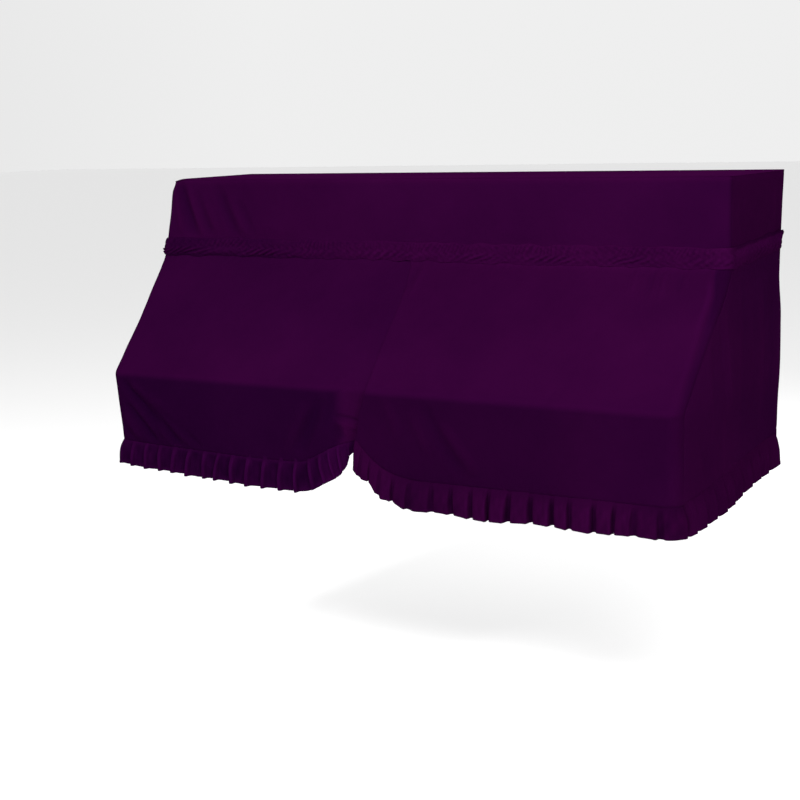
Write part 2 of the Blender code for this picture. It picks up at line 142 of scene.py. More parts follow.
# height, how far the left end stands out, how far it stands forward
LEFT_FLARE = (
    (-0.660, 0.004, 0.000), (-0.475, 0.016, 0.002), (-0.350, 0.025, 0.007),
    (-0.209, 0.042, 0.014), (-0.143, 0.028, 0.009), (-0.086, 0.018, 0.004),
    (-0.030, 0.011, 0.001), (0.000, 0.000, 0.000),
)

# height, how far the right end stands out at its back edge
RIGHT_FLARE = (
    (-0.560, 0.000), (-0.420, 0.004), (-0.340, 0.004), (-0.230, -0.003),
    (-0.100, -0.002), (0.000, 0.000),
)

# height, how far the back edge is drawn forward
BACK_DRAW = (
    (-0.800, 0.008), (-0.620, 0.012), (-0.475, 0.007), (-0.3425, 0.011), (-0.128, 0.004),
    (0.000, 0.000),
)

# along the perimeter from the front's centre, height of the hem seam
HEM_LEFT = (
    (-1.360, -0.603), (-0.840, -0.643), (-0.700, -0.648), (-0.500, -0.654), (-0.300, -0.658),
    (-0.197, -0.655), (-0.143, -0.633), (-0.100, -0.611), (-0.060, -0.598), (-0.020, -0.592),
    (0.040, -0.590),
)
HEM_RIGHT = (
    (-0.036, -0.590), (-0.010, -0.613), (0.015, -0.634), (0.049, -0.654), (0.090, -0.666),
    (0.140, -0.671), (0.700, -0.670), (0.840, -0.665), (1.360, -0.610),
)

# along the ruffle from the slit, share of its full depth, share of its full pleats
DEPTH_LEFT = (
    (0.000, 0.40, 0.30), (0.060, 0.42, 0.42), (0.072, 0.40, 0.46), (0.080, 0.40, 0.50),
    (0.090, 0.50, 0.60), (0.100, 0.74, 0.70), (0.112, 0.88, 0.76), (0.126, 0.98, 0.82),
    (0.150, 1.02, 0.90), (0.220, 1.02, 1.00), (0.500, 0.98, 1.00), (0.85, 0.92, 1.00),
    (1.60, 1.00, 1.00),
)
DEPTH_RIGHT = (
    (0.000, 1.00, 0.20), (0.024, 0.96, 0.30), (0.036, 0.95, 0.35), (0.048, 0.86, 0.40),
    (0.060, 0.75, 0.43), (0.072, 0.79, 0.46), (0.086, 0.90, 0.52), (0.102, 0.96, 0.58),
    (0.118, 0.88, 0.63), (0.134, 0.86, 0.70), (0.156, 0.97, 0.78), (0.190, 1.02, 0.85),
    (0.260, 1.00, 0.95), (0.840, 1.00, 1.00), (0.900, 1.06, 0.70), (0.960, 1.10, 0.60),
    (1.320, 1.10, 0.60), (1.440, 0.88, 0.60),
)

# along the ruffle from the slit, size of its pleats
PLEAT_SIZE = (
    (0.00, 0.52), (0.12, 0.55), (0.26, 0.95), (1.60, 1.00),
)

# along the right ruffle from the slit, share of a full groove between its pleats there
PLEATS_RIGHT = (
    (0.000, 0.8), (0.030, 0.8), (0.060, 0.8), (0.092, 0.8), (0.130, 0.6), (0.173, 0.5),
    (0.233, 0.7), (0.283, 0.9), (0.335, 0.85), (0.381, 1.05), (0.432, 1.3), (0.487, 1.0),
    (0.539, 1.15), (0.580, 0.7), (0.640, 1.1), (0.687, 1.1), (0.733, 0.5), (0.793, 0.35),
    (0.846, 0.45), (0.898, 0.3), (0.950, 0.6),
)

# height, where the right front panel's inner edge lies
INNER_EDGE = (
    (-0.600, -0.040), (-0.570, -0.029), (-0.530, -0.024), (-0.500, -0.013), (-0.478, -0.006),
    (-0.400, -0.011), (-0.270, -0.018), (-0.215, -0.030), (-0.174, -0.044),
)

# how far from the middle the edge's lean still moves the cloth
EDGE_REACH = 0.140

# height, how far the left front panel is tucked in beside the slit
SLIT_TUCK = (
    (-0.720, 0.014), (-0.640, 0.024), (-0.580, 0.032), (-0.540, 0.030), (-0.475, 0.022),
    (-0.430, 0.006), (-0.400, 0.000),
)

# across the front, how much of the parting at the slit is there
NEAR_SLIT = ((-0.090, 0.0), (-0.050, 1.0), (0.045, 1.0), (0.090, 0.0))

# upper end x, z, lower end x, z, half width, height (a trough is minus)
FRONT_CREASES = (
    (-0.752, -0.018, -0.704, -0.142, 0.029, -0.0095),
    (-0.722, -0.024, -0.677, -0.142, 0.022, 0.0050),
    (-0.696, -0.046, -0.652, -0.138, 0.023, -0.0045),
    (-0.672, -0.060, -0.630, -0.134, 0.022, 0.0028),
    (-0.622, -0.034, -0.567, -0.142, 0.027, -0.0070),
    (-0.594, -0.062, -0.545, -0.134, 0.024, 0.0032),
    (-0.552, -0.066, -0.520, -0.130, 0.021, -0.0035),
    (-0.763, -0.030, -0.748, -0.130, 0.013, 0.0040),
    (-0.740, -0.500, -0.640, -0.600, 0.020, -0.0095),
    (-0.712, -0.498, -0.590, -0.640, 0.021, 0.0070),
    (-0.696, -0.525, -0.566, -0.652, 0.020, -0.0120),
    (-0.730, -0.560, -0.640, -0.650, 0.017, -0.0105),
    (-0.742, -0.585, -0.690, -0.648, 0.014, 0.0060),
    (-0.655, -0.530, -0.520, -0.645, 0.020, 0.0050),
    (-0.630, -0.555, -0.496, -0.655, 0.017, -0.0060),
    (-0.760, -0.600, -0.720, -0.645, 0.012, -0.0040),
    (-0.138, -0.510, -0.192, -0.620, 0.024, -0.0080),
    (-0.175, -0.520, -0.235, -0.625, 0.020, 0.0045),
    (-0.105, -0.500, -0.120, -0.560, 0.020, -0.0040),
    (0.050, -0.490, 0.082, -0.570, 0.020, 0.0032),
    (-0.094, -0.536, -0.036, -0.553, 0.008, -0.0036),
    (-0.090, -0.553, -0.044, -0.570, 0.010, 0.0030),
    (-0.091, -0.566, -0.080, -0.604, 0.012, -0.0060),
    (-0.074, -0.560, -0.066, -0.596, 0.010, 0.0036),
    (0.154, -0.497, 0.186, -0.564, 0.022, -0.0045),
    (0.186, -0.564, 0.245, -0.640, 0.022, -0.0045),
    (0.210, -0.545, 0.280, -0.632, 0.020, 0.0050),
    (0.122, -0.520, 0.160, -0.600, 0.020, 0.0036),
    (0.560, -0.205, 0.566, -0.250, 0.012, 0.0030),
    (0.596, -0.205, 0.600, -0.246, 0.011, -0.0032),
    (0.628, -0.205, 0.634, -0.256, 0.012, 0.0034),
    (0.664, -0.205, 0.668, -0.240, 0.011, -0.0030),
    (0.010, -0.205, 0.004, -0.262, 0.011, 0.0036),
    (-0.012, -0.203, -0.018, -0.250, 0.010, -0.0030),
)

# upper end y, z, lower end y, z, half width, height (a trough is minus)
SIDE_CREASES = (
    (-0.225, -0.240, -0.160, -0.480, 0.024, 0.0048),
    (-0.255, -0.320, -0.240, -0.500, 0.022, -0.0030),
    (-0.085, -0.225, -0.080, -0.560, 0.028, -0.0030),
    (0.020, -0.225, 0.010, -0.520, 0.034, 0.0030),
    (0.090, -0.225, 0.095, -0.540, 0.030, -0.0025),
    (-0.330, -0.540, -0.280, -0.640, 0.028, -0.0030),
    (-0.200, -0.520, -0.190, -0.630, 0.024, 0.0025),
    (-0.100, -0.040, -0.110, -0.110, 0.026, -0.0030),
    (0.080, -0.045, 0.090, -0.100, 0.026, 0.0030),
)

# upper end x, z, lower end x, z, half width, height (a trough is minus)
BACK_CREASES = (
    (-0.52, -0.16, -0.50, -0.62, 0.060, 0.0080),
    (-0.40, -0.25, -0.37, -0.62, 0.045, -0.0045),
    (-0.20, -0.12, -0.24, -0.62, 0.070, -0.0070),
    (-0.05, -0.22, -0.04, -0.62, 0.050, 0.0040),
    (0.12, -0.18, 0.15, -0.62, 0.060, 0.0080),
    (0.30, -0.24, 0.29, -0.62, 0.045, -0.0040),
    (0.47, -0.14, 0.44, -0.62, 0.070, -0.0070),
    (0.64, -0.26, 0.62, -0.62, 0.045, 0.0035),
)

# place in a pleat, how far out the cloth is there: a broad front that rises to a narrow groove
BROAD_PLEAT = (
    (0.000, -1.00), (0.055, -0.93), (0.110, -0.30), (0.160, 0.28), (0.270, 0.50), (0.500, 0.62),
    (0.700, 0.80), (0.810, 1.00), (0.860, 0.86), (0.905, 0.10), (0.945, -0.78), (1.000, -1.00),
)

# the same for a narrow ridge between broad flats
NARROW_PLEAT = (
    (0.000, -0.72), (0.180, -0.66), (0.300, -0.50), (0.355, 0.20), (0.410, 0.90), (0.475, 1.00),
    (0.540, 0.88), (0.590, 0.10), (0.630, -0.85), (0.710, -1.00), (0.820, -0.86),
    (1.000, -0.72),
)

# share of the ruffle's depth, how far it stands out, share of the pleats' growth
RUFFLE_FALL = (
    (0.00, 0.0000, 0.0), (0.12, 0.0022, 0.18), (0.30, 0.0062, 0.62), (0.60, 0.0096, 0.90),
    (1.00, 0.0108, 1.00),
)

# share of the trim's width from its top, share of its crest, of the twist and of the gathers
TRIM_SECTION = (
    (0.00, 0.00, 0.00, 0.00), (0.06, 0.30, 0.00, 0.50), (0.15, 0.46, 0.00, 1.00),
    (0.34, 0.50, 0.00, 1.00), (0.46, 0.50, 0.05, 0.80), (0.56, 0.68, 0.65, 0.35),
    (0.68, 1.00, 1.20, 0.10), (0.80, 0.92, 1.10, 0.10), (0.90, 0.58, 0.55, 0.10),
    (0.96, 0.28, 0.15, 0.05), (1.00, 0.10, 0.00, 0.00),
)

# along the perimeter from the front's centre, how strongly the trim is twisted, its painted
# highlight (plus) and shade (minus)
TRIM_TWIST = (
    (-1.30, 0.60, -0.5), (-0.82, 0.80, -0.7), (-0.74, 1.05, -0.7), (-0.48, 1.00, -0.5),
    (-0.40, 0.50, -0.2), (-0.15, 0.62, 0.4), (0.00, 0.45, 0.5), (0.20, 0.72, 0.5),
    (0.55, 0.60, 0.3), (0.72, 0.35, 0.3), (0.80, 0.60, 1.5), (1.30, 0.85, 1.5),
)

# share of the trim's width from its top, its painted highlight (plus) and shade (minus) along
# the right end
TRIM_SHADE = (
    (0.10, -1.900), (0.12, -1.267), (0.16, 0.367), (0.24, 1.100), (0.45, 1.100), (0.60, 0.129),
    (0.62, -0.060), (0.80, -0.600),
)

# along the perimeter from the front's centre, the ruffle's painted highlight and shade (minus)
RUFFLE_TONE_LEFT = (
    (-0.150, 0.0), (-0.100, 0.7), (-0.078, 0.7), (-0.052, -1.5),
)
RUFFLE_TONE_RIGHT = (
    (0.030, 0.40), (0.090, 0.00), (0.660, 0.00), (0.740, -0.50), (0.765, -0.50), (0.820, 1.70),
    (0.900, 1.70), (1.100, 1.26),
)


def read(table, key, column=1):
    """A column of a table at keys between its rows, along straight lines."""
    return np.interp(key, [row[0] for row in table], [row[column] for row in table])


def smooth(table, key, column=1):
    """A column of a table at keys between its rows, along a curve with no overshoot."""
    keys = np.array([row[0] for row in table])
    values = np.array([row[column] for row in table])
    steps = np.diff(keys)
    slopes = np.diff(values) / steps
    tangents = np.zeros(len(keys))
    for i in range(1, len(keys) - 1):
        if slopes[i - 1] * slopes[i] > 0:
            tangents[i] = 2 / (1 / slopes[i - 1] + 1 / slopes[i])
    i = np.clip(np.searchsorted(keys, key) - 1, 0, len(steps) - 1)
    t = np.clip((key - keys[i]) / steps[i], 0, 1)
    start = (1 + 2 * t) * (1 - t) ** 2 * values[i] + t * (1 - t) ** 2 * steps[i] * tangents[i]
    end = t * t * (3 - 2 * t) * values[i + 1] - t * t * (1 - t) * steps[i] * tangents[i + 1]
    return start + end


def share(value, start, end):
    """How far the value has gone from start to end, kept between 0 and 1."""
    return np.clip((value - start) / (end - start), 0, 1)


def ease(value, start, end):
    """The same, starting and ending gently."""
    t = share(value, start, end)
    return t * t * (3 - 2 * t)


def soft_ramp(t, softness):
    """0 below zero and t above it, with the corner rounded over the softness."""
    bend = (t + softness) ** 2 / (4 * softness)
    return np.where(t < -softness, 0.0, np.where(t > softness, t, bend))


def thinned(far, reach, least=0.45):
    """The share of a sheet's thickness at a distance from its edge, where it is least."""
    return least + (1 - least) * share(far, 0, reach)


def mound(value, width):
    """1 where the value is zero, dying out over the width on both sides."""
    return np.exp(-((value / width) ** 2))


def waves(a, b, size, seed):
    """A smooth uneven field over a and b, about 1 high, with waves about that size."""
    chance = np.random.default_rng(seed)
    count, total = 6, 0.0
    for _ in range(count):
        angle, phase = chance.uniform(0, math.pi), chance.uniform(0, 2 * math.pi)
        length = size * chance.uniform(0.65, 1.6)
        across = a * math.cos(angle) + b * math.sin(angle)
        total = total + np.sin(across * 2 * math.pi / length + phase)
    return total / math.sqrt(count)


def front_y(z):
    t = (SLOPE_TOP - z) / (SLOPE_TOP - FOLD)
    reach = soft_ramp(t, TOP_SOFTNESS) - soft_ramp(t - 1, FOLD_SOFTNESS)
    return -(LID_DEPTH + CLOTH) / 2 - SLOPE_REACH * reach


def back_y(z):
    return (LID_DEPTH + CLOTH) / 2 - read(BACK_DRAW, z)


def corner_radius(z):
    return read(CORNER_RADIUS, z)


def side_length(z):
    return back_y(z) - BACK_RADIUS - front_y(z) - corner_radius(z)


def lengths_around(z):
    """The lengths at height z of the front's half, corner, side, back corner and back's half."""
    radius = corner_radius(z)
    quarter = math.pi / 2
    return (
        HALF_WIDTH - radius,
        radius * quarter,
        side_length(z),
        BACK_RADIUS * quarter + 0 * z,
        HALF_WIDTH - BACK_RADIUS + 0 * z,
    )


def to_back_corner(z):
    """The distance along the cover at height z from the front's centre to the back corner."""
    return float(sum(lengths_around(z)[:3]))


def skin(c, z):
    """Points of the cover's middle surface at height z.

    c says where round the cover: 0 to 1 is the front from its centre to the right corner, 1 to 2
    that corner, 2 to 3 the side, 3 to 4 the back corner and 4 to 5 the back. Minus is to the left.
    """
    c, z = np.broadcast_arrays(np.asarray(c, float), np.asarray(z, float))
    hand = np.where(c < 0, -1.0, 1.0)
    c = np.abs(c)
    radius, front, rear = corner_radius(z), front_y(z), back_y(z)
    turn = (c % 1) * math.pi / 2
    parts = [c <= 1, c < 2, c <= 3, c < 4]
    x = np.select(
        parts,
        [
            c * (HALF_WIDTH - radius),
            HALF_WIDTH - radius + radius * np.sin(turn),
            HALF_WIDTH + 0 * c,
            HALF_WIDTH - BACK_RADIUS + BACK_RADIUS * np.cos(turn),
        ],
        (5 - c) * (HALF_WIDTH - BACK_RADIUS),
    )
    y = np.select(
        parts,
        [
            front,
            front + radius * (1 - np.cos(turn)),
            front + radius + (c - 2) * side_length(z),
            rear - BACK_RADIUS + BACK_RADIUS * np.sin(turn),
        ],
        rear,
    )
    back = share(y, front, rear)
    near = ease(x, FLARE_START, HALF_WIDTH) * (hand < 0)
    x = hand * x - smooth(LEFT_FLARE, z) * near * (1 - 0.6 * back)
    y = y - smooth(LEFT_FLARE, z, 2) * near * (1 - back)
    x = x + smooth(RIGHT_FLARE, z) * back * share(x, FLARE_START, HALF_WIDTH)
    return np.stack((x, y, z), -1)


def around(s, z):
    """The place round the cover, as skin takes it, at a distance s from the front's centre."""
    s, z = np.broadcast_arrays(np.asarray(s, float), np.asarray(z, float))
    rest, c, before = np.abs(s), np.zeros(s.shape), 0.0
    for number, length in enumerate(lengths_around(z)):
        inside = rest >= before
        c = np.where(inside, number + np.clip((rest - before) / length, 0, 1), c)
        before = before + length
    return np.where(s < 0, -c, c)


def facing(points):
    """The direction out of a grid whose rows run down and whose columns run to the right."""
    out = np.cross(np.gradient(points, axis=0), np.gradient(points, axis=1))
    return out / np.maximum(np.linalg.norm(out, axis=-1, keepdims=True), 1e-12)


def creases(table, along, z):
    """The relief of a table's creases: each is highest on its line and dies out beside it."""
    total = np.zeros(np.broadcast(along, z).shape)
    for a0, z0, a1, z1, half_width, height in table:
        run = (a1 - a0, z1 - z0)
        t = np.clip(((along - a0) * run[0] + (z - z0) * run[1]) / (run[0] ** 2 + run[1] ** 2), 0, 1)
        far = np.hypot(along - a0 - t * run[0], z - z0 - t * run[1]) / half_width
        ends = 1 - 0.55 * np.abs(2 * t - 1) ** 3
        total += height * ends * np.clip(1 - far * far, 0, None) ** 2
    return total


def near_slit(x):
    return read(NEAR_SLIT, x)


def left_tuck(x, z):
    """How far the left half lies behind the skin beside the slit."""
    return SLIT_PART * near_slit(x) + smooth(SLIT_TUCK, z) * ease(x, -0.125, -0.030)


def side_seam(c):
    """The height of the seam under the trim: level on the front, rising along the side."""
    return BAND_SEAM + SIDE_SEAM_RISE * share(np.abs(c), 2, 3)


def spaced(start, end, step):
    count = max(int(round(abs(end - start) / step)), 1)
    return np.linspace(start, end, count + 1)


def turned(points, edges, half=SEAM_HALF):
    """The grid with its named side edges turned in, as seam allowances are, short of the seam."""
    out = facing(points)
    for edge in edges:
        way = 1 if edge == "right" else -1
        points, out = points[:, ::way], out[:, ::way]
        normal, run = out[:, -1], points[:, -1] - points[:, -2]
        run = run / np.linalg.norm(run, axis=-1, keepdims=True)
        seam = points[:, -1] - run * (half + SEAM)
        turn = (
            seam - run * 1.2 * half,
            seam - run * 0.35 * half - normal * 0.5 * half,
            seam - normal * 1.5 * half,
            seam - normal * TURN,
        )
        points = np.concatenate((points[:, :-1], np.stack(turn, 1)), 1)[:, ::way]
        out = np.concatenate((out[:, :-1], np.stack([normal] * len(turn), 1)), 1)[:, ::way]
    return points


def edge_thin(points, edges):
    """The share of a panel's thickness, least at the named side edges, where it is turned in."""
    far = np.full(points.shape[:2], 1.0)
    for edge in edges:
        start = points[:, -1:] if edge == "right" else points[:, :1]
        far = np.minimum(far, np.linalg.norm(points - start, axis=-1))
    least = SEAM_HALF / HALF
    return least + (1 - least) * ease(far, 0.001, 0.012)


def padded(grid, edges):
    """A grid of values made as large as turned makes the grid of points."""
    return np.pad(grid, ((0, 0), (3 * ("left" in edges), 3 * ("right" in edges))), mode="edge")


def new_object(name, data):
    thing = bpy.data.objects.new(name, data)
    bpy.context.scene.collection.objects.link(thing)
    return thing


def sheet_mesh(name, points, fold, half):
    """A closed sheet with rounded rims from a grid of middle points.

    fold is painted light, kept in the attribute named pile: plus for a painted highlight on a
    ridge, minus for painted shade in a trough.
    """
    rows, columns = points.shape[:2]
    out = facing(points)
    half = np.broadcast_to(half, (rows, columns))[..., None]
    outer, inner = points + out * half, points - out * half
    count = rows * columns
    number = np.arange(count).reshape(rows, columns)
    ring = np.concatenate((number[0, :], number[1:, -1], number[-1, -2::-1], number[-2:0:-1, 0]))
    flat = points.reshape(-1, 3)
    after = np.roll(ring, -1)
    along = flat[after] - flat[np.roll(ring, 1)]
    rim_out = np.cross(along, out.reshape(-1, 3)[ring])
    rim_out /= np.maximum(np.linalg.norm(rim_out, axis=-1, keepdims=True), 1e-12)
    rim = flat[ring] - rim_out * half.reshape(-1, 1)[ring] * 0.9
    vertices = np.concatenate((outer.reshape(-1, 3), inner.reshape(-1, 3), rim))
    a, b, c, d = number[:-1, :-1], number[1:, :-1], number[1:, 1:], number[:-1, 1:]
    front = np.stack((a, b, c, d), -1).reshape(-1, 4)
    back = np.stack((a, d, c, b), -1).reshape(-1, 4) + count
    r = np.arange(len(ring)) + 2 * count
    r_next = np.roll(r, -1)
    upper = np.stack((ring, after, r_next, r), -1)
    lower = np.stack((r, r_next, after + count, ring + count), -1)
    faces = np.concatenate((front, back, upper, lower))
    data = bpy.data.meshes.new(name)
    data.from_pydata(vertices.tolist(), [], faces.tolist())
    # painted shade and highlight, stored per point in the attribute named pile
    pile = np.clip(np.broadcast_to(fold, (rows, columns)), -2, 3).ravel()
    pile = np.concatenate((pile, pile, pile[ring])).astype(np.float32)
    data.attributes.new("pile", "FLOAT", "POINT").data.foreach_set("value", pile)
    data.validate()
    data.shade_smooth()
    return new_object(name, data)


def sewn(name, points, fold, half, edges):
    """A sheet whose named side edges are turned in, and thinner there."""
    half = padded(half * edge_thin(points, edges), edges)
    return sheet_mesh(name, turned(points, edges), padded(fold, edges), half)


def dress(piece, node, material):
    """Puts a sheet in the place of its node, with its cloth."""
    piece.data.materials.append(material)
    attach(piece, "root")
    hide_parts(node)


# ---- cloth ----

WHITE = (1.0, 1.0, 1.0, 1.0)
# the bluer tint of the painted shade in troughs
TROUGH_SHADE_TINT = (0.95, 0.97, 1.10, 1.0)
SHEEN = {
    "Specular IOR Level": 0.0,
    "Sheen Weight": 0.012,
    "Sheen Roughness": 0.40,
    "Sheen Tint": (0.62, 0.03, 0.56, 1.0),
}


def node_of(tree, kind, feeds, **values):
    """A shader node with its settings, its constant inputs and the outputs that feed it."""
    node = tree.nodes.new("ShaderNode" + kind)
    node.location.x = 200 * len(tree.nodes)
    for key, value in values.items():
        if hasattr(node, key):
            setattr(node, key, value)
        else:
            node.inputs[key.replace("_", " ")].default_value = value
    for socket, output in feeds.items():
        tree.links.new(output, node.inputs[socket])
    return node


def noise(tree, vector, scale, detail, rough):
    values = {"Scale": scale, "Detail": detail, "Roughness": rough}
    return node_of(tree, "TexNoise", {"Vector": vector}, **values).outputs["Fac"]


def ranged(tree, value, **ends):
    return node_of(tree, "MapRange", {"Value": value}, **ends).outputs["Result"]


def scaled_sum(tree, value, factor, added):
    """The value times the factor, plus what is added."""
    node = node_of(tree, "Math", {0: value, 2: added}, operation="MULTIPLY_ADD")
    node.inputs[1].default_value = factor
    return node.outputs["Value"]


def mixture(tree, factor, a, b):
    node = node_of(tree, "Mix", {"Factor": factor}, data_type="RGBA", A=a, B=b)
    return node.outputs["Result"]


def product(tree, a, b):
    node = node_of(tree, "VectorMath", {0: a, 1: b}, operation="MULTIPLY")
    return node.outputs["Vector"]


def new_material(name, values):
    """A material, and its shader with the given inputs."""
    material = bpy.data.materials.new(name)
    material.use_nodes = True
    shader = material.node_tree.nodes["Principled BSDF"]
    for socket, value in values.items():
        shader.inputs[socket].default_value = value
    return material, shader


def painted_shade_below_fold(tree, where, tint=WHITE, upright_from=2.0, turning=0.035):
    """A tint of painted shade below the fold, left of a given x; right of it the cloth is unshaded.
    """
    place = node_of(tree, "SeparateXYZ", {"Vector": where})
    ends = {"interpolation_type": "SMOOTHSTEP", "From_Min": FOLD - 0.012, "From_Max": FOLD + 0.006}
    above = ranged(tree, place.outputs["Z"], **ends)
    ends.update(From_Min=upright_from - turning, From_Max=upright_from)
    upright = ranged(tree, place.outputs["X"], **ends)
    unshaded_share = node_of(tree, "Math", {0: above, 1: upright}, operation="MAXIMUM")
    return mixture(tree, unshaded_share.outputs["Value"], tint, WHITE)


def velvet(name, shades, pile=0.30, patches=2.6, trough_shade=0.25, **fold_shade):
    """Short-pile velvet: nap brushed in patches, fine tufts and a soft tinted sheen.

    pile is how strongly the tufts stand out and patches how small the brushed patches are. The next
    setting is how much painted shade darkens the colour in troughs, and the rest set the painted
    shade below the fold.
    """
    material, shader = new_material(name, SHEEN)
    tree = material.node_tree

    where = node_of(tree, "TexCoord", {}).outputs["Object"]
    nap = noise(tree, where, patches, 3.0, 0.55)
    brushed = noise(tree, where, 38.0, 4.0, 0.6)
    stretch = node_of(tree, "Mapping", {"Vector": where}, Scale=(1.0, 1.0, 0.35))
    tufts = noise(tree, stretch.outputs["Vector"], 900.0, 2.0, 0.7)
    patchy = ranged(tree, nap, From_Min=0.32, From_Max=0.68)
    fine = scaled_sum(tree, brushed, 0.35, patchy)
    speckled = scaled_sum(tree, tufts, 0.45, fine)
    mixed = ranged(tree, speckled, From_Min=0.25, From_Max=1.25)
    colour = mixture(tree, mixed, *shades)
    # painted shade below the fold, as a tint
    toned = product(tree, colour, painted_shade_below_fold(tree, where, **fold_shade))

    # painted shade and highlight from the pile attribute: darker and bluer in troughs, lighter on
    # ridges
    painted_value = node_of(tree, "Attribute", {}, attribute_name="pile").outputs["Fac"]
    ends = {"clamp": False, "From_Min": -1.0, "To_Min": 1.0 - trough_shade, "To_Max": 1.0 + 0.4 * trough_shade}
    painted_light = ranged(tree, painted_value, **ends)
    shade_blueing = ranged(tree, painted_value, From_Min=-1.0, From_Max=0.3)
    shade_mix = mixture(tree, shade_blueing, TROUGH_SHADE_TINT, WHITE)
    tinted = product(tree, toned, shade_mix)
    feeds = {0: tinted, "Scale": painted_light}
    shaded_colour = node_of(tree, "VectorMath", feeds, operation="SCALE")
    tree.links.new(shaded_colour.outputs["Vector"], shader.inputs["Base Color"])

    rough = ranged(tree, mixed, To_Min=0.95, To_Max=0.80)
    tree.links.new(rough, shader.inputs["Roughness"])
    relief = scaled_sum(tree, brushed, 0.6, tufts)
    bump = node_of(tree, "Bump", {"Height": relief}, Strength=pile, Distance=0.0008)
    tree.links.new(bump.outputs["Normal"], shader.inputs["Normal"])
    return material


# The velvets' dark and light shades: lit copies for the lid and the ends, shaded copies for the
# ruffles, the left one bluer, and the tints of painted shade below the fold.
PLUM = ((0.0095, 0.0003, 0.0102, 1.0), (0.0130, 0.0005, 0.0128, 1.0))
LID_LIT_PLUM = ((0.0112, 0.0004, 0.0110, 1.0), (0.0152, 0.0006, 0.0142, 1.0))
SIDE_LIT_PLUM = ((0.0106, 0.0004, 0.0114, 1.0), (0.0144, 0.0006, 0.0142, 1.0))
SHADED_RUFFLE_PLUM = ((0.0082, 0.0003, 0.0088, 1.0), (0.0112, 0.0004, 0.0110, 1.0))
LEFT_SHADED_RUFFLE_PLUM = ((0.0082, 0.0003, 0.0100, 1.0), (0.0112, 0.0004, 0.0126, 1.0))
SHADE_BELOW_FOLD = (0.64, 0.66, 0.70, 1.0)
LEFT_SHADE_BELOW_FOLD = (0.56, 0.60, 0.68, 1.0)

# both fronts get painted shade below the fold; not by the slit on the left, nor at the right end
VELVET = velvet("velvet", PLUM, tint=SHADE_BELOW_FOLD, upright_from=0.790, turning=0.055)
LEFT_VELVET = velvet("left_velvet", PLUM, tint=LEFT_SHADE_BELOW_FOLD, upright_from=-0.068)
# lit copies of the one velvet for the lid and the ends, shaded copies for the ruffles
LID_LIT_VELVET = velvet("lid_lit_velvet", LID_LIT_PLUM)
SIDE_LIT_VELVET = velvet("side_lit_velvet", SIDE_LIT_PLUM)
TRIM_VELVET = velvet("trim_velvet", PLUM, 0.34, 6.0, trough_shade=0.30)
SHADED_RUFFLE_VELVET = velvet("ruffle_velvet", SHADED_RUFFLE_PLUM, 0.32, 5.0, trough_shade=0.52)
LEFT_SHADED_RUFFLE_VELVET = velvet("left_shaded_ruffle_velvet", LEFT_SHADED_RUFFLE_PLUM, 0.32, 5.0, trough_shade=0.52)


# ---- sheets ----


def relieved(points, relief):
    return points + facing(points) * relief[..., None]


def panel_relief(points, seed):
    """Soft unevenness of hanging cloth."""
    along, z = points[..., 0] - points[..., 1], points[..., 2]
    broad = waves(along, z, 0.24, seed) * 0.0012
    small = waves(along, z * 0.6, 0.065, seed + 1) * 0.00035
    return broad + small


def panel_creases(points, c):
    """The relief of the front's creases and of the side's on a panel."""
    front = creases(FRONT_CREASES, points[..., 0], points[..., 2]) * (np.abs(c) <= 1.3)
    side = creases(SIDE_CREASES, points[..., 1], points[..., 2]) * (np.abs(c) >= 2)
    return front, side


def puckers(along, below, seed, pitch, depth, reach):
    """Small gathers that run down from a seam and die out: below is the distance from it."""
    jitter = waves(along, 0, 0.16, seed) * 0.35
    lines = np.sin((along / pitch + jitter) * 2 * math.pi)
    strength = np.clip(0.55 + 0.45 * waves(along, 0, 0.11, seed + 3), 0.1, 1.4)
    return lines * strength * depth * np.exp(-below / reach) * share(below, 0, 0.003)


def corner_places(low, high, z, step=STEP):
    """Places round the cover from low to high, about a step apart at height z."""
    lengths = lengths_around(z)
    stops = [low] + [c for c in range(-4, 5) if low < c < high] + [high]
    places = []
    for start, end in zip(stops, stops[1:]):
        length = abs(end - start) * lengths[int(min(abs(start), abs(end)))]
        least = 5 if abs(end - start) > 0.5 else 1
        count = max(int(round(length / step)), least)
        places += [start + (end - start) * i / count for i in range(count)]
    return np.array(places + [high])


def corner_sag(x, y):
    """How far the top lies below its plane round its front left corner."""
    return CORNER_SAG * mound(np.hypot(x + HALF_WIDTH, y + LID_DEPTH / 2), CORNER_SAG_REACH)


